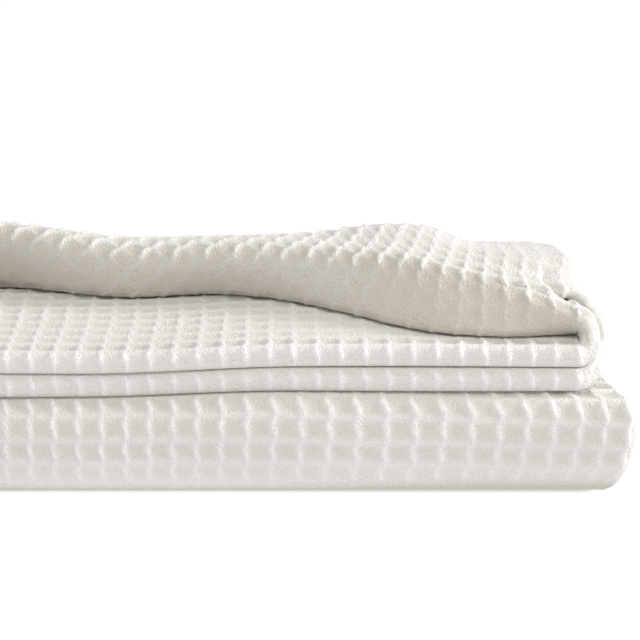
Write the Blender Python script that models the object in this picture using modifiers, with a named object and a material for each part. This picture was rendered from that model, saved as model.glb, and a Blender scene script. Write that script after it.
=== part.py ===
"""Waffle weave cotton blanket, folded into a stack with its top turned back.

One sheet of cloth. It is laid double, lower leaf and upper leaf joined by the turn along the right
end, then taken back and forth in eight passes between the front and the back. The four passes at the
free hem lie as two thin folds, b and c, and the upper leaf of these is thrown back over them to form
the lofty flap with its front roll. The other four passes are the slab that everything rests on.

Origin: bottom centre of the bounding box. +X along the stack, +Y to the back, +Z up.
"""
import math

import bmesh
import bpy
import numpy as np

# ---- driving dimensions, millimetres ------------------------------------------------------------
WIDTH = 454.0            # left hems to the right end of the slab
CLOTH = 3.6              # thickness of the pressed waffle weave
PITCH = 6.3              # one layer to the next in the pressed stack
DEPTH = 189.4            # slab front to the outside of the back wrap
RIGHT_END = 160.0        # right end of the slab from the working zero of X
TURN_X = 130.0           # axis of the turn that joins the two leaves of folds b and c
FLAP_TOP = 98.8          # middle of the flap's top layer
SLAB_LIFT = 3.4          # extra height of the right half of the stack
TURN_FLATTEN = 0.8       # how round the nested turns of the flap are: 1 is a half circle
SLAB_BOXY = 0.75         # how square the slab's front is: 1 is round
NIP = 13.0               # how far the flap's right end draws in behind its front corner
SLAB_NIP = 9.0           # the same for the slab's right end
ROLL_LEAN = 1.8          # how high up its face the flap's roll bulges: 1 is half-way
SETTLE = 0.17            # share of its height the stack loses towards the back
LIP_SETBACK = 13.0       # front edge of the flap's upper fold behind the crest of the roll
PASS_STEPS = 6           # mesh steps along a pass
LEAF_STEPS = 13          # mesh steps along a leaf, left to right
TURN_STEPS = 6           # mesh steps around the right-hand turn

MM = 0.001
LEFT_END = RIGHT_END - WIDTH

# Eight passes, from the free hem on top to the free hem inside the slab: height of the middle of
# the lower leaf (in layers), of the upper leaf (in layers, or mm in the flap), X where the two join.
PASSES = (
    # name,    lower, upper,    join_x
    ("c_up",   11.5,  76.6,     TURN_X),
    ("c_low",  10.5,  85.0,     TURN_X),
    ("b_up",   9.5,   92.4,     TURN_X),
    ("b_low",  8.5,   FLAP_TOP, TURN_X),
    ("bottom", 1.5,   0.5,      141.0),
    ("top",    6.5,   7.5,      151.0),
    ("inner",  5.5,   4.5,      153.0),
    ("core",   2.5,   3.5,      151.0),
)

# Folds between the passes, in order, with the two hems at the ends. Depths are those of the middle
# of the cloth behind the slab front, mm; the upper leaf of folds b and c follows the roll instead.
FOLDS = (
    # name,         lower, upper, reach_lower, reach_upper, steps
    ("hem_c",       160.0, 164.0, 0.0,  0.0,  0),
    ("front_c",     15.0,  0.0,   3.2,  0.0,  8),
    ("back_c",      160.0, 167.0, 3.0,  4.2,  6),
    ("front_b",     14.2,  0.0,   3.2,  4.4,  6),
    ("back_wrap",   175.5, 187.6, 12.0, 24.0, 12),
    ("slab_front",  7.8,   1.8,   8.5,  13.0, 10),
    ("slab_back",   159.5, 166.5, 3.2,  8.4,  7),
    ("inner_front", 14.6,  21.0,  8.4,  3.2,  7),
    ("hem_core",    158.0, 158.0, 0.0,  0.0,  0),
)

# The flap's front roll, left to right: its foot on fold c, its crest, and the crest's height.
ROLL = (
    # x,     foot,  crest, top
    (-300.0, 114.0, 119.0, 105.0),
    (-235.0, 122.0, 124.0, 109.0),
    (-174.0, 125.0, 124.0, 110.5),
    (-140.0, 108.0, 115.0, 107.0),
    (-105.0, 98.0,  109.0, 103.0),
    (-55.0,  97.0,  105.0, 102.0),
    (-21.0,  84.0,  100.0, 101.5),
    (15.0,   60.0,  90.0,  101.5),
    (42.0,   39.0,  78.0,  102.0),
    (60.0,   29.0,  69.0,  100.5),
    (80.0,   24.0,  61.0,  98.0),
    (102.0,  23.0,  51.0,  95.5),
    (115.0,  25.0,  44.0,  93.5),
    (130.0,  27.0,  38.0,  89.5),
)


def height(layers):
    return CLOTH / 2 + (layers - 0.5) * PITCH


def ease(t):
    t = np.clip(t, 0.0, 1.0)
    return t * t * (3.0 - 2.0 * t)


def curve(x, xs, ys):
    """Smooth line through the rows of a table."""
    xs, ys = np.array(xs), np.array(ys)
    slope = np.gradient(ys, xs)
    x = np.clip(x, xs[0], xs[-1])
    k = np.clip(np.searchsorted(xs, x) - 1, 0, len(xs) - 2)
    step = xs[k + 1] - xs[k]
    t = (x - xs[k]) / step
    return ((1 + 2 * t) * (1 - t) ** 2 * ys[k] + t * (1 - t) ** 2 * step * slope[k]
            + t * t * (3 - 2 * t) * ys[k + 1] + t * t * (t - 1) * step * slope[k + 1])


def roll_at(x, column):
    return float(curve(x, [row[0] for row in ROLL], [row[column] for row in ROLL]))


def fold_ends(n, upper, x):
    """Depths where the cloth enters and leaves fold n, and how far the fold reaches out of them."""
    name, lower_at, upper_at, reach_lower, reach_upper, _ = FOLDS[n]
    side = -1.0 if n % 2 else 1.0
    if not upper:
        wave = 0.9 * math.sin(x / 47.0 + n) if name in ("front_c", "front_b") else 0.0
        base = lower_at + wave - side * reach_lower
        return base, base, reach_lower
    foot, crest = roll_at(x, 1), roll_at(x, 2)
    if name == "front_c":
        return foot + 5.0, crest, 14.0 - 0.12 * (crest - foot)
    if name == "front_b":
        base = crest + LIP_SETBACK + reach_upper
        return base, base, reach_upper
    base = upper_at - side * reach_upper
    return base, base, reach_upper


def pass_height(k, upper, x, depth):
    """Height of pass k of a leaf at one place, before the stack's own lift."""
    name, lower, up, _ = PASSES[k]
    if not upper:
        return height(lower)
    if k > 3:
        return height(up)
    z = up
    if name == "c_low":
        crest, lip = roll_at(x, 2), roll_at(x, 2) + LIP_SETBACK
        z = roll_at(x, 3) + (up - roll_at(x, 3)) * float(ease((depth - crest) / (lip + 3.0 - crest)))
    hump = (math.exp(-((x - 42.0) / 36.0) ** 2) - 0.68 * float(ease((x - 56.0) / 30.0))
            ) * math.exp(-((depth - 124.0) / 30.0) ** 2)
    nose = float(ease((x - 80.0) / 46.0) * ease((85.0 - depth) / 40.0))
    return (z + {"c_up": 0.0, "c_low": 2.0, "b_up": 4.8, "b_low": 7.2}[name] * hump
            - {"c_up": 0.0, "c_low": 3.0, "b_up": 6.0, "b_low": 8.5}[name] * nose)


def settle(x, depth, z):
    """The right half stands a little higher, and the whole stack sinks towards the back."""
    z = z + SLAB_LIFT * float(ease((x + 120.0) / 110.0)) * float(ease((z - 9.0) / 30.0))
    return CLOTH / 2 + (z - CLOTH / 2) * (1.0 - SETTLE * float(ease((depth - 112.0) / 60.0)))


def nip(x, depth, z):
    """X after the right ends of the slab and of the flap are drawn in behind their front corners."""
    slab = ease((x - 60.0) / 90.0) * ease((depth - 8.0) / 45.0) * (1.0 - ease((z - 48.0) / 8.0))
    x = x - SLAB_NIP * float(slab)
    across = ease((x - 40.0) / 86.0) * ease((depth - 36.0) / 36.0)
    return x - NIP * float(across * ease((z - 50.0) / 9.0) * (1.0 - ease((z - 88.0) / 18.0)))


def section(upper, x):
    """Points of one leaf's back-and-forth section at x, as (depth, height) in order."""
    points = []
    for k in range(len(PASSES)):
        start, stop = fold_ends(k, upper, x)[1], fold_ends(k + 1, upper, x)[0]
        for i in range(PASS_STEPS + 1):
            depth = start + (stop - start) * i / PASS_STEPS
            points.append((depth, pass_height(k, upper, x, depth)))
        if k == len(PASSES) - 1:
            break
        steps, (into, out, reach) = FOLDS[k + 1][5], fold_ends(k + 1, upper, x)
        z0, z1 = points[-1][1], pass_height(k + 1, upper, x, out)
        outward = -1.0 if (k + 1) % 2 else 1.0
        for i in range(1, steps):
            turn = math.pi * i / steps
            w = (1.0 - math.cos(turn)) / 2
            swell = math.sin(turn) ** (SLAB_BOXY if FOLDS[k + 1][0] == "slab_front" else 1.0)
            if upper and FOLDS[k + 1][0] == "front_c":
                swell = math.sin(math.pi * (i / steps) ** ROLL_LEAN)
            points.append((into + (out - into) * w + outward * reach * swell,
                           z0 + (z1 - z0) * w))
    return [(depth, settle(x, depth, z)) for depth, z in points]


def joins():
    """X of the right-hand turn and how far it bulges, for every point of a section."""
    low, up = section(False, TURN_X), section(True, TURN_X)
    xs, bulge = [], []
    for k, row in enumerate(PASSES):
        xs += [row[3]] * (PASS_STEPS + 1)
        if k < len(PASSES) - 1:
            steps, after = FOLDS[k + 1][5], PASSES[k + 1][3]
            push = {"slab_front": 8.0, "back_wrap": 3.0}.get(FOLDS[k + 1][0], 0.0)
            for i in range(1, steps):
                t = i / steps
                xs.append(row[3] + (after - row[3]) * float(ease(t)) + push * math.sin(math.pi * t))
        if PASSES[k][0] == "b_low":
            flap_count = len(xs) - (FOLDS[k + 1][5] - 1)
    for i, ((d0, z0), (d1, z1)) in enumerate(zip(low, up)):
        gap = abs(z1 - z0) if i < flap_count else math.hypot(d1 - d0, z1 - z0)
        bulge.append(max(TURN_FLATTEN * gap / 2, PITCH / 2 - 0.1))
    return xs, bulge


def build_blanket(material):
    xs, bulge = joins()
    count = len(xs)
    columns = []
    for upper in (False, True):
        leaf = []
        for i in range(LEAF_STEPS + 1):
            t = i / LEAF_STEPS
            x = LEFT_END + (TURN_X - LEFT_END) * t
            leaf.append([(x + (xs[j] - TURN_X) * float(ease((x + 60.0) / 177.0)), d, z)
                         for j, (d, z) in enumerate(section(upper, x))])
        columns.append(leaf if not upper else leaf[::-1])
    turn = []
    for i in range(1, TURN_STEPS):
        a = math.pi * i / TURN_STEPS
        w = (1.0 - math.cos(a)) / 2
        column = []
        for j in range(count):
            (x0, d0, z0), (x1, d1, z1) = columns[0][-1][j], columns[1][0][j]
            column.append((xs[j] + bulge[j] * math.sin(a), d0 + (d1 - d0) * w, z0 + (z1 - z0) * w))
        turn.append(column)
    columns = columns[0] + turn + columns[1]

    bm = bmesh.new()
    bmesh.ops.create_grid(bm, x_segments=len(columns) - 1, y_segments=count - 1, size=1.0)
    bm.verts.ensure_lookup_table()
    middle = (RIGHT_END + LEFT_END) / 2
    for vert in bm.verts:
        i = round((vert.co.x + 1.0) / 2 * (len(columns) - 1))
        j = round((vert.co.y + 1.0) / 2 * (count - 1))
        x, d, z = columns[i][j]
        vert.co = ((nip(x, d, z) - middle) * MM, (d - DEPTH / 2) * MM, z * MM)
    mesh = bpy.data.meshes.new("blanket")
    bm.to_mesh(mesh)
    bm.free()
    mesh.materials.append(material)
    blanket = bpy.data.objects.new("blanket", mesh)
    bpy.context.scene.collection.objects.link(blanket)
    shell = blanket.modifiers.new("cloth", "SOLIDIFY")
    shell.thickness = CLOTH * MM
    shell.offset = 0.0
    shell.use_even_offset = True
    return blanket


for leftover in list(bpy.data.objects):
    bpy.data.objects.remove(leftover)

cotton = bpy.data.materials.new("ivory_cotton")
cotton.use_nodes = True
shader = cotton.node_tree.nodes["Principled BSDF"]
shader.inputs["Base Color"].default_value = (0.80, 0.77, 0.71, 1.0)
shader.inputs["Roughness"].default_value = 0.9
build_blanket(cotton)
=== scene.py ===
import math

import bmesh
import bpy
import numpy as np
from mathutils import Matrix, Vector


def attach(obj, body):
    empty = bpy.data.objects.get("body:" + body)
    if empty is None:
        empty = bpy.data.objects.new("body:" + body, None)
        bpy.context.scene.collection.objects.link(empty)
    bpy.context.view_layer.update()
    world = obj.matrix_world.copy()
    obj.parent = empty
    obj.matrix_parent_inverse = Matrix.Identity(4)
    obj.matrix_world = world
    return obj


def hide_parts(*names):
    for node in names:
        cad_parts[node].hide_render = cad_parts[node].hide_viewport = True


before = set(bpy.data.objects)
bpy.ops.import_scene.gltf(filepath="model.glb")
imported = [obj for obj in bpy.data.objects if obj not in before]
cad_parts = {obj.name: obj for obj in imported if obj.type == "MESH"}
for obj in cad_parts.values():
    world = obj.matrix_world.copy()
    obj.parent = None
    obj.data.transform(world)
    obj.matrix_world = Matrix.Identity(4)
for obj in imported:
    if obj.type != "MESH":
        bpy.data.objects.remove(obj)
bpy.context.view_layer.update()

# ---- The folded sheet ----------------------------------------------------------------------------
# The blanket is one cotton sheet laid double, a lower and an upper leaf joined by the turn at the
# right end, and taken back and forth in eight passes. Four make the slab. Four make the thin folds
# b and c, whose upper leaf is thrown back over them as the flap. Sizes are in millimetres.
WIDTH = 454.0
CLOTH = 3.6              # the pressed waffle
PITCH = 6.3              # from one layer to the next
DEPTH = 189.4
RIGHT_END = 160.0        # X runs from the middle of the open front, and depth back from the slab's front
LEFT_END = RIGHT_END - WIDTH
TURN_X = 130.0           # where both leaves end and the turn starts
TURN_FLATTEN = 0.8       # the turn's reach, against that of a half circle
FLAP_TOP = 98.8
LIP_SETBACK = 13.0       # the lip of fold b, behind the flap's crest
LIP_SINK = 4.0           # how far that lip is pressed down where the crest covers it
SLAB_LIFT = 3.4          # how far the right half of the stack stands above the left
SETTLE = 0.17            # how much lower the stack lies at the back
NIP = 13.0               # how far the turn is drawn in towards the back
SLAB_NIP = 9.0           # and the slab's end
ROLL_LEAN = 1.8          # how high up its face the flap's roll bulges: 1 is half-way
LAP = 0.8                # how far the crest's cloth lies over the flap's top

# each leaf's layer, counted from below, but in the flap the upper leaf's height
PASSES = (
    # name,    lower, upper,    join_x
    ("c_up",   11.5,  76.6,     TURN_X),
    ("c_low",  10.5,  85.0,     TURN_X),
    ("b_up",   9.5,   92.4,     TURN_X),
    ("b_low",  8.5,   FLAP_TOP, TURN_X),
    ("bottom", 1.5,   0.5,      141.0),
    ("top",    6.5,   7.5,      151.0),
    ("inner",  5.5,   4.5,      153.0),
    ("core",   2.5,   3.5,      151.0),
)
FOLDS = (
    # name,         lower, upper, reach_lower, reach_upper
    ("hem_c",       160.0, 164.0, 0.0,  0.0),
    ("front_c",     15.0,  0.0,   3.2,  0.0),
    ("back_c",      160.0, 167.0, 3.0,  4.2),
    ("front_b",     14.2,  0.0,   3.2,  4.4),
    ("back_wrap",   175.5, 187.6, 12.0, 24.0),
    ("slab_front",  7.8,   1.8,   8.5,  13.0),
    ("slab_back",   159.5, 166.5, 3.2,  8.4),
    ("inner_front", 14.6,  21.0,  8.4,  3.2),
    ("hem_core",    158.0, 158.0, 0.0,  0.0),
)
ROLL = np.array((
    # x,     depth of its foot, depth of its crest, height of the top behind it
    (-300.0, 114.0, 119.0, 105.0),
    (-235.0, 122.0, 124.0, 109.0),
    (-174.0, 125.0, 124.0, 110.5),
    (-140.0, 108.0, 115.0, 107.0),
    (-105.0, 98.0,  109.0, 103.0),
    (-55.0,  97.0,  105.0, 102.0),
    (-21.0,  84.0,  100.0, 101.5),
    (15.0,   60.0,  90.0,  101.5),
    (42.0,   39.0,  78.0,  102.0),
    (60.0,   29.0,  69.0,  100.5),
    (80.0,   24.0,  61.0,  98.0),
    (102.0,  23.0,  51.0,  95.5),
    (115.0,  25.0,  44.0,  93.5),
    (130.0,  27.0,  38.0,  89.5),
))
FOOT, CREST, TOP = 1, 2, 3
# how square each front is, by fold and upper leaf: 1 is round
BOXY = {
    ("slab_front", False): 0.75,
    ("slab_front", True): 0.75,
    ("front_c", False): 0.45,
    ("front_c", True): 0.75,
    ("front_b", False): 0.45,
    ("front_b", True): 0.8,
}
# how far each pass of the flap joins in the hump over its middle and droops towards the turn
HUMP = {"c_up": 0.0, "c_low": 2.0, "b_up": 4.8, "b_low": 7.2}
DROOP = {"c_up": 0.0, "c_low": 3.0, "b_up": 6.0, "b_low": 8.5}


def height(layers):
    return CLOTH / 2 + (layers - 0.5) * PITCH


def rise(value, first, run):
    """A smooth step: 0 up to `first`, and 1 from one `run` further on."""
    t = np.clip((value - first) / run, 0.0, 1.0)
    return t * t * (3.0 - 2.0 * t)


def roll_at(x, column):
    """A column of the ROLL table at places x, on a smooth curve through its rows."""
    xs, ys = ROLL[:, 0], ROLL[:, column]
    slope = np.gradient(ys, xs)
    x = np.clip(x, xs[0], xs[-1])
    k = np.clip(np.searchsorted(xs, x) - 1, 0, len(xs) - 2)
    step = xs[k + 1] - xs[k]
    t = (x - xs[k]) / step
    return ((1 + 2 * t) * (1 - t) ** 2 * ys[k] + t * (1 - t) ** 2 * step * slope[k]
            + t * t * (3 - 2 * t) * ys[k + 1] + t * t * (t - 1) * step * slope[k + 1])


def fold_ends(n, upper, x):
    """Depths where the cloth enters and leaves fold n, and how far the fold reaches out of them."""
    name, lower_at, upper_at, reach_lower, reach_upper = FOLDS[n]
    side = -1.0 if n % 2 else 1.0
    if not upper:
        wave = 0.9 * np.sin(x / 47.0 + n) if name in ("front_c", "front_b") else 0.0 * x
        base = lower_at + wave - side * reach_lower
        return base, base, reach_lower
    foot, crest = roll_at(x, FOOT), roll_at(x, CREST)
    if name == "front_c":
        return foot + 5.0, crest, 14.0 - 0.12 * (crest - foot)
    base = upper_at - side * reach_upper + 0.0 * x
    if name == "front_b":
        base = crest + LIP_SETBACK + reach_upper
    return base, base, reach_upper


def pass_height(k, upper, x, depth):
    name, lower, up, _ = PASSES[k]
    if not upper:
        return height(lower) + 0.0 * depth
    if name not in HUMP:
        return height(up) + 0.0 * depth
    z = up
    if name == "c_low":
        crest, top = roll_at(x, CREST), roll_at(x, TOP)
        z = top + (up - top) * rise(depth, crest, LIP_SETBACK + 3.0)
    hump = (np.exp(-((x - 42.0) / 36.0) ** 2) - 0.68 * rise(x, 56.0, 30.0)
            ) * np.exp(-((depth - 124.0) / 30.0) ** 2)
    nose = rise(x, 80.0, 46.0) * (1.0 - rise(depth, 45.0, 40.0))
    return z + HUMP[name] * hump - DROOP[name] * nose


def flush(x):
    """1 where the flap's crest runs back level into its top and covers the lip of fold b."""
    return rise(x, -225.0, 35.0) * (1.0 - rise(x, 116.0, 12.0))


def flush_shift(k, x, depth, z):
    """How far pass k of the flap moves where the crest runs level into the top."""
    name, behind = PASSES[k][0], depth - roll_at(x, CREST)
    if name == "c_low":
        top = roll_at(x, TOP)
        level = top + (pass_height(3, True, x, depth) + LAP - top) * rise(behind, 0.0, 26.0)
        return (level - z) * flush(x) * (1.0 - rise(behind, 36.0, 8.0))
    if name == "b_low":
        return -LIP_SINK * flush(x) * (1.0 - rise(behind, 20.0, 12.0))
    return 0.0


def leaf(upper, x, v):
    """Depth and height over stations v (pass 0, fold 1, pass 2 ...) and places x."""
    d, z = np.zeros((len(v), len(x))), np.zeros((len(v), len(x)))
    for part in range(15):
        rows = np.floor(v) == part
        t, k = (v[rows] - part)[:, None], part // 2
        into, out, reach = fold_ends(k + 1, upper, x)
        if part % 2 == 0:
            start = fold_ends(k, upper, x)[1]
            d[rows] = start + (into - start) * t
            z[rows] = pass_height(k, upper, x, d[rows])
            if upper:
                z[rows] += flush_shift(k, x, d[rows], z[rows])
            continue
        name, side = FOLDS[k + 1][0], 1.0 if k % 2 else -1.0
        z0, z1 = pass_height(k, upper, x, into), pass_height(k + 1, upper, x, out)
        way = (1.0 - np.cos(np.pi * t)) / 2
        lean = ROLL_LEAN if upper and name == "front_c" else 1.0
        swell = np.sin(np.pi * t ** lean) ** BOXY.get((name, upper), 1.0)
        d[rows] = into + (out - into) * way + side * reach * swell
        z[rows] = z0 + (z1 - z0) * way
        if upper and name == "front_b":
            z[rows] -= LIP_SINK * flush(x)
    z = z + SLAB_LIFT * rise(x, -120.0, 110.0) * rise(z, 9.0, 30.0)
    return d, CLOTH / 2 + (z - CLOTH / 2) * (1.0 - SETTLE * rise(d, 112.0, 60.0))


# Stations run down the sheet, with passes from the even numbers and folds from the odd: 1 is the
# front of c, 3 its back, 5 the front of b, 7 the back wrap, 9 the slab's front and 10 its top. The
# grid is fine where the cloth shows and coarse inside the stack.
STATIONS = (
    # part, spacing, length, start, stop
    (0,  14.0, 142, 0.0,  0.12),
    (0,  1.3,  142, 0.12, 1.0),
    (1,  1.1,  44,  0.0,  1.0),
    (2,  1.3,  80,  0.0,  0.8),
    (2,  8.0,  80,  0.8,  1.0),
    (3,  2.5,  12,  0.0,  1.0),
    (4,  16.0, 142, 0.0,  0.94),
    (4,  1.3,  142, 0.94, 1.0),
    (5,  1.0,  12,  0.0,  1.0),
    (6,  1.3,  142, 0.0,  1.0),
    (7,  1.3,  115, 0.0,  1.0),
    (8,  3.0,  150, 0.0,  1.0),
    (9,  1.2,  60,  0.0,  1.0),
    (10, 1.3,  142, 0.0,  0.14),
    (10, 14.0, 142, 0.14, 1.0),
    (11, 2.5,  22,  0.0,  1.0),
    (12, 14.0, 142, 0.0,  1.0),
    (13, 2.5,  22,  0.0,  1.0),
    (14, 14.0, 142, 0.0,  1.0),
)
LAST_STATION = 15.0 - 1e-9
V = []
for part, spacing, length, start, stop in STATIONS:
    steps = max(2, round(length * (stop - start) / spacing))
    V.extend(part + start + (stop - start) * np.arange(steps) / steps)
V = np.array(V + [LAST_STATION])
FLAT_X = np.arange(0.0, 1.0, 1.3 / (TURN_X - LEFT_END))
ARC = np.arange(0.0, 1.0, 1.0 / 44)[1:]

x_leaf = LEFT_END + (TURN_X - LEFT_END) * np.append(FLAT_X, 1.0)
low_d, low_z = leaf(False, x_leaf, V)
up_d, up_z = leaf(True, x_leaf, V)

# each row's turn starts at its pass's join, pushed out a little round the slab's front and back
JOIN_PUSH = {"slab_front": 8.0, "back_wrap": 3.0}
join = np.zeros(len(V))
for part in range(15):
    rows, k = np.floor(V) == part, part // 2
    t = V[rows] - part
    join[rows] = PASSES[k][3]
    if part % 2:
        join[rows] += (PASSES[k + 1][3] - PASSES[k][3]) * rise(t, 0.0, 1.0)
        join[rows] += JOIN_PUSH.get(FOLDS[k + 1][0], 0.0) * np.sin(np.pi * t)
gap_d, gap_z = up_d[:, -1] - low_d[:, -1], up_z[:, -1] - low_z[:, -1]
gap = np.where(V < 7.0, np.abs(gap_z), np.hypot(gap_d, gap_z))
bulge = np.maximum(TURN_FLATTEN * gap / 2, PITCH / 2 - 0.1)

spread = (join - TURN_X)[:, None] * rise(x_leaf, -60.0, 177.0)[None, :]
low = np.stack([x_leaf[None, :] + spread, low_d, low_z], -1)
up = np.stack([x_leaf[None, :] + spread, up_d, up_z], -1)
way = ((1.0 - np.cos(np.pi * ARC)) / 2)[None, :, None]
arc = low[:, -1:, :] * (1 - way) + up[:, -1:, :] * way
arc[:, :, 0] = join[:, None] + bulge[:, None] * np.sin(np.pi * ARC)[None, :]

# the middle of the cloth, by station and column: the lower leaf, the turn, then the upper leaf
middle = np.concatenate([low, arc, up[:, ::-1, :]], axis=1)
x_at, d_at, z_at = middle[:, :, 0], middle[:, :, 1], middle[:, :, 2]
in_slab = 1.0 - rise(z_at, 48.0, 8.0)
x_at -= SLAB_NIP * rise(x_at, 60.0, 90.0) * rise(d_at, 8.0, 45.0) * in_slab
in_turn = rise(z_at, 50.0, 9.0) * (1.0 - rise(z_at, 88.0, 18.0))
x_at -= NIP * rise(x_at, 40.0, 86.0) * rise(d_at, 36.0, 36.0) * in_turn

face = np.cross(np.gradient(middle, axis=0), np.gradient(middle, axis=1))
face /= np.maximum(np.linalg.norm(face, axis=2, keepdims=True), 1e-9)

# ---- The waffle weave ----------------------------------------------------------------------------
# Honeycomb weave: long floats of thread stand up as ridges round square cells, which sink towards
# their middles. The ridges that run front to back are proud and narrow, the others softer. The
# cloth's own plane, p along its width and q down its length, carries the cells round every fold.
CELL = 12.0
RIDGE = 2.6              # how far the ridges stand out of the cloth's middle
SINK = 0.5               # and the cells' floors
SQUEEZED = 3.0           # and the cloth where two layers press together
MEAN_RELIEF = 0.55
LEAN_LEFT = 38.0         # degrees by which the flap's cells lean at the left, thrown back askew
LEAN_TURN = 3.0          # and besides, everywhere short of the turn

n_leaf, n_turn = low.shape[1], low.shape[1] + arc.shape[1]
steps = np.linalg.norm(np.diff(middle, axis=0), axis=2)
q = np.concatenate([np.zeros_like(steps[:1]), np.cumsum(steps, 0)], 0)
anchor = np.zeros(len(V), int)
for first, last, zero in ((0.0, 3.0, 1.0), (3.0, 8.0, 6.0), (8.0, 16.0, 9.0)):
    anchor[(V >= first) & (V < last)] = np.searchsorted(V, zero)
q = q - q[anchor]
crest_row, lip_row = np.searchsorted(V, 2.0), np.searchsorted(V, 6.0)
carry = q[crest_row, n_turn:] + up_d[lip_row, ::-1] - up_d[crest_row, ::-1]
carried = ((V >= 3.0) & (V < 8.0))[:, None]
q[:, n_turn:] += carry[None, :] * carried
q[:, n_leaf:n_turn] += carry[0] * ARC[None, :] * carried

x_up = x_leaf[::-1]
p = np.zeros(middle.shape[:2])
p[:, :n_leaf] = x_leaf[None, :] - TURN_X
p[:, n_leaf:n_turn] = np.maximum(1.0, np.round(np.pi * bulge / CELL))[:, None] * CELL * ARC[None, :]
p[:, n_turn:] = TURN_X - x_up[None, :]

lean = (math.radians(LEAN_LEFT) * (1.0 - rise(x_up, -70.0, 190.0))
        + math.radians(LEAN_TURN) * (1.0 - rise(x_up, 90.0, 40.0)))
run = np.abs(np.diff(x_up))
run_cos = np.append(0.0, np.cumsum(np.cos(lean[1:]) * run))
run_sin = np.append(0.0, np.cumsum(np.sin(lean[1:]) * run))
in_flap = V < 8.0
q_up = q[in_flap, n_turn:]
p[in_flap, n_turn:] = run_cos[None, :] + q_up * np.sin(lean)[None, :]
q[in_flap, n_turn:] = q_up * np.cos(lean)[None, :] - run_sin[None, :]


def waves(seed, size):
    """Slow waves over the stack, between -1 and 1, the shortest about three sizes long."""
    across, along = x_at + 0.7 * z_at, d_at + 1.3 * z_at
    total = 0.0
    for i in range(5):
        turn, scale = seed * 1.7 + i * 2.4, size * (1.0 + 0.7 * i) / 2
        total = total + np.sin((across * math.cos(turn) + along * math.sin(turn)) / scale + seed * 3.1 + i)
    return total / 5


def between(first, last):
    """The rows between two stations, as a column that multiplies the grid."""
    return ((V > first) & (V < last))[:, None]


v_at = V[:, None]
column = np.arange(middle.shape[1])[None, :]
half_turn = (n_turn - n_leaf) / 2
on_upper = rise(column, n_leaf + half_turn, half_turn)
on_lower = 1.0 - on_upper

# the cells: soft wobble in the threads, then a peak along each ridge and a bowl between them
pp = (p + 0.7 * np.sin(2 * np.pi * q / CELL + 0.6) + 1.5 * waves(1.0, 23.0)) / CELL
qq = (q + 1.5 * waves(2.0, 23.0)) / CELL
edge_p = np.abs(2 * np.mod(pp, 1.0) - 1)
edge_q = np.abs(2 * np.mod(qq, 1.0) - 1)
ridge_p = np.exp(-((1 - edge_p) / 0.21) ** 2) * (0.5 + 0.5 * np.sin(np.pi * np.mod(qq, 1.0)) ** 0.7)
ridge_q = np.exp(-((1 - edge_q) / 0.45) ** 2) * 0.66
streaky = on_upper * (v_at < 7.5)
fronts = on_lower * between(1.0, 6.0) + between(9.0, 10.0)
ridge_p = ridge_p * (1.0 + 0.2 * streaky) * (1.0 + 0.35 * waves(5.0, 9.0))
ridge_q = ridge_q * (1.0 - 0.5 * streaky - 0.5 * fronts)
bowl = 0.5 * np.maximum(edge_p, 0.9 * edge_q) ** 1.3
waffle = (bowl ** 3 + ridge_p ** 3 + ridge_q ** 3) ** (1 / 3)
waffle = np.clip(waffle * (1.0 + 0.16 * waves(3.0, 15.0)), 0.0, 1.15)

# the weave lies flatter where the slab rolls under, down the roll's face, on c's top and on the flap
slab_under = np.where(v_at < 8.0, 1.0, rise(v_at, 9.2, 0.35))
roll_face = rise(v_at, 1.0, 0.2) * (1.0 - rise(v_at, 1.6, 0.2)) * on_upper
c_top = v_at < 0.93
calm = (0.12 + 0.88 * slab_under) * (1.0 - 0.72 * roll_face) * np.where(c_top, 0.6, 1.0)
calm = calm * (1.0 - 0.6 * rise(x_at, -40.0, 70.0) * c_top * on_lower)
calm = calm * (1.0 - on_upper * between(5.9, 7.2) * (0.4 + 0.3 * rise(x_at, 50.0, 50.0)))
calm = calm * (1.0 - 0.35 * on_upper * between(2.05, 3.0))
relief = MEAN_RELIEF + (waffle - MEAN_RELIEF) * calm

# the hidden faces of folds b and c, the slab's top and the roll's foot are pressed together, and the same
# mask paints shade into their tone
b_front = rise(np.abs(2 * (v_at - 5.0) - 1.0), 0.45, 0.35)
inside = rise(v_at, 1.72, 0.18) * np.where(between(5.0, 6.0), b_front, 1.0) * (v_at < 7.0)
inside = inside * (1.0 - rise(column, n_leaf, half_turn) * (v_at > 5.5)) * on_lower
slab_top = rise(v_at, 9.97, 0.06) * (v_at < 11.0) * (1.0 - rise(x_at, 112.0, 24.0))
roll_foot = (1.0 - rise(v_at, 0.97, 0.10)) * (v_at > 0.8) * on_upper
squeeze_and_shade = np.clip(inside + slab_top + roll_foot, 0.0, 1.0)

# the tone follows the relief, with painted shade in the cells; painted shade makes it deeper in the nips,
# along the slab's rolled-under edge, down the roll's face and at its foot, and painted light lifts the
# bands
# painted light: the bands of b and c are painted lighter, towards the ridges' colour
bands = between(1.0, 6.0) * on_lower
tone = np.maximum(relief, 0.14) * (1.0 - 0.3 * bands) + 0.3 * bands
# painted shade: darker towards the slab's lower edge, where it rolls under
rolled_under_shade = rise(v_at, 9.07 + 0.07 * rise(x_at, -60.0, 160.0), 0.2) ** 2 + (v_at < 8.0)
# painted shade in the nips, where the layers press together
tone = tone * (1.0 - 0.6 * squeeze_and_shade) * rolled_under_shade
# painted shade down the roll's face, its upper edge made ragged by the cells
ragged = v_at + 0.24 * (waffle - MEAN_RELIEF) * rise(v_at, 1.3, 0.3)
shaded = on_upper * rise(ragged, 0.97, 0.05) * (1.0 - rise(ragged, 1.83, 0.08))
tone = tone * (1.0 - shaded * (0.84 + 0.12 * rise(x_at, 0.0, 60.0)))
# painted shade at the roll's foot
tone = tone * (1.0 - 0.5 * (1.0 - rise(v_at, 1.0, 0.16)) * on_upper * (v_at > 0.9))

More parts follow.
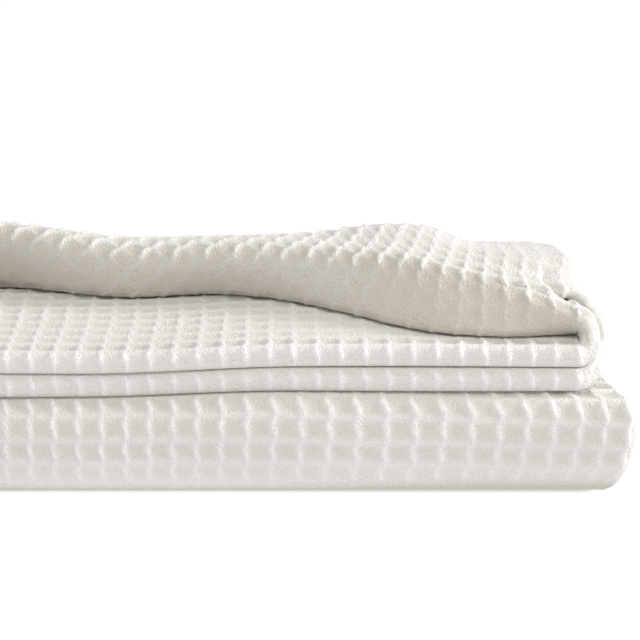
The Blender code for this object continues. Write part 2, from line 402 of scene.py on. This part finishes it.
MM = 0.001
FLOOR_GAP = 0.05


def in_place(points):
    """Points of the cloth in metres, centred as the frame's blanket is and clear of the floor."""
    points[:, :, 2] = np.maximum(points[:, :, 2], FLOOR_GAP)
    return (points - np.array(((RIGHT_END + LEFT_END) / 2, DEPTH / 2, 0.0))) * MM


offset = SINK + (RIDGE - SINK) * relief
offset = offset + (SQUEEZED - offset) * squeeze_and_shade
outer = in_place(middle + face * offset[:, :, None])

# ---- Folds b and c -------------------------------------------------------------------------------
# The two thin folds that lie on the slab, whose fronts show as rounded bands under the flap. They
# are plain cloth, woven in one with the rest and held only by the weight that lies on them.


def linear(code):
    channels = [int(code[i:i + 2], 16) / 255 for i in (1, 3, 5)]
    return tuple(c / 12.92 if c <= 0.04045 else ((c + 0.055) / 1.055) ** 2.4 for c in channels) + (1.0,)


def node(tree, kind, settings=(), links=()):
    """Add a node, set its inputs or its own properties, and link its inputs to other outputs."""
    made = tree.nodes.new(kind)
    for key, value in dict(settings).items():
        if isinstance(key, int) or key in made.inputs:
            made.inputs[key].default_value = value
        else:
            setattr(made, key, value)
    for socket, source in dict(links).items():
        tree.links.new(source, made.inputs[socket])
    return made


# Undyed cotton, loosely spun, woven and washed: matt all over with a faint fuzz that lightens the
# edges. Nearly white on the ridges. The warmer, darker colour down into the cells is painted shade,
# and the deepest colour is painted shade for the nips, the rolled-under edge and the roll's face.
# The threads are about 0.5 mm across, too fine to show, so their grain is drawn 1.25 mm coarse.
DEEP_SHADE_COLOUR = "#d0cabf"
SLOPE_COLOUR = "#dfdcd7"
RIDGE_COLOUR = "#fbf9f7"
THREAD = 1.25
THREAD_RISE = 1.2
cotton = bpy.data.materials.new("ivory_cotton_waffle")
cotton.use_nodes = True
tree = cotton.node_tree
shader = tree.nodes["Principled BSDF"]
shader.inputs["Roughness"].default_value = 0.92
shader.inputs["Specular IOR Level"].default_value = 0.2
shader.inputs["Sheen Weight"].default_value = 0.15
shader.inputs["Sheen Roughness"].default_value = 0.5
tone_at = node(tree, "ShaderNodeAttribute", {"attribute_name": "tone"})
tint = node(tree, "ShaderNodeValToRGB", links={"Fac": tone_at.outputs["Fac"]})
tint.color_ramp.elements[0].color = linear(DEEP_SHADE_COLOUR)
tint.color_ramp.elements[1].color = linear(RIDGE_COLOUR)
tint.color_ramp.elements[1].position = 0.9
tint.color_ramp.elements.new(0.14).color = linear(SLOPE_COLOUR)
place = node(tree, "ShaderNodeTexCoord")
threads = node(tree, "ShaderNodeTexNoise", {"Scale": 1.0 / (THREAD * MM), "Detail": 2.0},
               {"Vector": place.outputs["Object"]})
grain = node(tree, "ShaderNodeBump", {"Strength": 1.0, "Distance": THREAD_RISE * MM},
             {"Height": threads.outputs["Fac"]})
tree.links.new(grain.outputs["Normal"], shader.inputs["Normal"])
tree.links.new(tint.outputs["Color"], shader.inputs["Base Color"])


def grid_piece(name, points, tones):
    """One open stretch of the cloth: a grid laid on its points, with its tone."""
    bm = bmesh.new()
    bmesh.ops.create_grid(bm, x_segments=points.shape[0] - 1, y_segments=points.shape[1] - 1, size=1.0)
    mesh = bpy.data.meshes.new(name)
    bm.to_mesh(mesh)
    bm.free()
    mesh.vertices.foreach_set("co", points.transpose(1, 0, 2).reshape(-1))
    mesh.attributes.new("tone", "FLOAT", "POINT").data.foreach_set("value", tones.T.reshape(-1))
    mesh.shade_smooth()
    mesh.update()
    mesh.materials.append(cotton)
    piece = bpy.data.objects.new(name, mesh)
    bpy.context.scene.collection.objects.link(piece)
    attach(piece, "root")
    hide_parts("blanket")


def sheet_piece(name, v_range, u_range, stride=1):
    """The stretch between two stations and two columns, on every `stride`th line of the grid."""
    first, last = np.searchsorted(V, v_range[0]), np.searchsorted(V, v_range[1] - 1e-6)
    rows = np.minimum(np.arange(first, last + 1), len(V) - 1)
    cols = np.arange(u_range[0], u_range[1])
    rows = np.unique(np.append(rows[::stride], rows[-1]))
    cols = np.unique(np.append(cols[::stride], cols[-1]))
    grid_piece(name, outer[np.ix_(rows, cols)], tone[np.ix_(rows, cols)])


sheet_piece("fold_c", (0.0, 2.0), (0, n_turn + 1))
sheet_piece("fold_b", (2.0, 6.0), (0, n_turn + 1))
sheet_piece("fold_b_underside", (6.0, 7.0), (0, n_leaf), 2)

# ---- The flap ------------------------------------------------------------------------------------
# The upper leaf of folds b and c, thrown back over them: a soft open roll along its front, a lofty
# top that settles towards the back, and the one wrap that closes the back of the stack.
total = middle.shape[1]
sheet_piece("flap_roll", (0.0, 6.0), (n_turn, total))
sheet_piece("flap_top", (6.0, 7.0), (n_leaf - 1, total))
sheet_piece("back_wrap", (7.0, 8.0), (n_leaf - 1, total))

# ---- The slab ------------------------------------------------------------------------------------
# The thick base: four passes of the doubled sheet, with the upper leaf wrapped round the outside
# and the lower leaf as its lining.
sheet_piece("slab", (8.0, 15.0), (n_leaf - 1, total))
sheet_piece("slab_lining", (7.0, 15.0), (0, n_leaf), 4)

# ---- Left hems -----------------------------------------------------------------------------------
# The left edge of each leaf: the cloth is turned in on itself in a flat hem 10 mm deep, which closes
# its thickness. Each hem follows every pass and fold of its leaf.
HEM = (
    # inward from the edge, outward from the cloth's middle
    (10.0, 2.5),
    (0.0, 2.6),
    (-1.4, 2.0),
    (-2.1, 0.9),
    (-2.1, -0.9),
    (-1.4, -2.0),
    (0.0, -2.6),
    (10.0, -2.5),
)
for name, at in (("left_hem_lower", 0), ("left_hem_upper", total - 1)):
    line, out_of = middle[::3, at], face[::3, at]
    hem = in_place(np.stack([line + out_of * out + np.array((inward, 0.0, 0.0)) for inward, out in HEM], 1))
    length = float(np.linalg.norm(np.diff(hem[:, 3], axis=0), axis=1).sum())
    grid_piece(name, hem, np.full(hem.shape[:2], MEAN_RELIEF))

# ---- Floor ---------------------------------------------------------------------------------------
# A sheet of white studio paper, lit so evenly that it runs on as a pale backdrop. Under the blanket
# it is plain matt paper, and it glows from just inside the stack's edges outwards.
PAPER_COLOUR = "#c9c6c0"
BACKDROP_COLOUR = "#303030"
PLAIN_HALF = (0.2, 0.077, 0.0)
FADE = 0.012
bm = bmesh.new()
bmesh.ops.create_grid(bm, x_segments=1, y_segments=1, size=30.0)
floor_mesh = bpy.data.meshes.new("floor")
bm.to_mesh(floor_mesh)
bm.free()
floor = bpy.data.objects.new("floor", floor_mesh)
bpy.context.scene.collection.objects.link(floor)
paper = bpy.data.materials.new("white_paper")
paper.use_nodes = True
tree = paper.node_tree
shader = tree.nodes["Principled BSDF"]
shader.inputs["Roughness"].default_value = 1.0
shader.inputs["Specular IOR Level"].default_value = 0.0
place = node(tree, "ShaderNodeTexCoord")
away = node(tree, "ShaderNodeVectorMath", {"operation": "ABSOLUTE"}, {0: place.outputs["Object"]})
beyond = node(tree, "ShaderNodeVectorMath", {"operation": "SUBTRACT", 1: PLAIN_HALF}, {0: away.outputs[0]})
outside = node(tree, "ShaderNodeVectorMath", {"operation": "MAXIMUM", 1: (0.0, 0.0, 0.0)},
               {0: beyond.outputs[0]})
far = node(tree, "ShaderNodeVectorMath", {"operation": "LENGTH"}, {0: outside.outputs[0]})
glow = node(tree, "ShaderNodeMapRange",
            {"interpolation_type": "SMOOTHSTEP", "From Min": 0.0, "From Max": FADE},
            {"Value": far.outputs["Value"]})
paper_tone = node(tree, "ShaderNodeValToRGB", links={"Fac": glow.outputs["Result"]})
paper_tone.color_ramp.elements[0].color = linear(PAPER_COLOUR)
paper_tone.color_ramp.elements[1].color = linear(BACKDROP_COLOUR)
shader.inputs["Emission Color"].default_value = (1.0, 1.0, 1.0, 1.0)
tree.links.new(paper_tone.outputs["Color"], shader.inputs["Base Color"])
tree.links.new(glow.outputs["Result"], shader.inputs["Emission Strength"])
floor_mesh.materials.append(paper)

# ---- Light ---------------------------------------------------------------------------------------
# An even studio sky, one large soft lamp low on the right that leaves the flap's front in shade, and
# a weak one over the front.
world = bpy.data.worlds.new("studio")
bpy.context.scene.world = world
world.use_nodes = True
world.node_tree.nodes["Background"].inputs["Color"].default_value = linear("#fffcf8")
world.node_tree.nodes["Background"].inputs["Strength"].default_value = 0.64
bpy.context.scene.view_settings.view_transform = "Standard"


def lamp(name, place, aim, size, power):
    data = bpy.data.lights.new(name, "AREA")
    data.shape, data.size, data.energy = "DISK", size, power
    made = bpy.data.objects.new(name, data)
    made.location = place
    made.rotation_euler = (Vector(aim) - Vector(place)).to_track_quat("-Z", "Y").to_euler()
    bpy.context.scene.collection.objects.link(made)


lamp("key", (1.95, 0.1, 0.9), (0.1, 0.0, 0.05), 0.6, 25.0)
lamp("fill", (0.5, -0.9, 1.5), (0.0, 0.0, 0.05), 0.8, 7.8)

# ---- Camera --------------------------------------------------------------------------------------
# A long lens from straight in front and a little above, aimed at the flap over the slab's front
# edge. The left end of the stack runs out of its frame.
LENS, SENSOR = 135.0, 36.0
TILT = math.radians(18.5)
DISTANCE = 1.185
aim = Vector((-(RIGHT_END + LEFT_END) / 2 * MM, -DEPTH / 2 * MM, 0.0955))
camera_data = bpy.data.cameras.new("camera")
camera_data.lens, camera_data.sensor_width = LENS, SENSOR
camera = bpy.data.objects.new("camera", camera_data)
camera.location = aim + DISTANCE * Vector((0.0, -math.cos(TILT), math.sin(TILT)))
camera.rotation_euler = (math.pi / 2 - TILT, 0.0, 0.0)
bpy.context.scene.collection.objects.link(camera)
bpy.context.scene.camera = camera
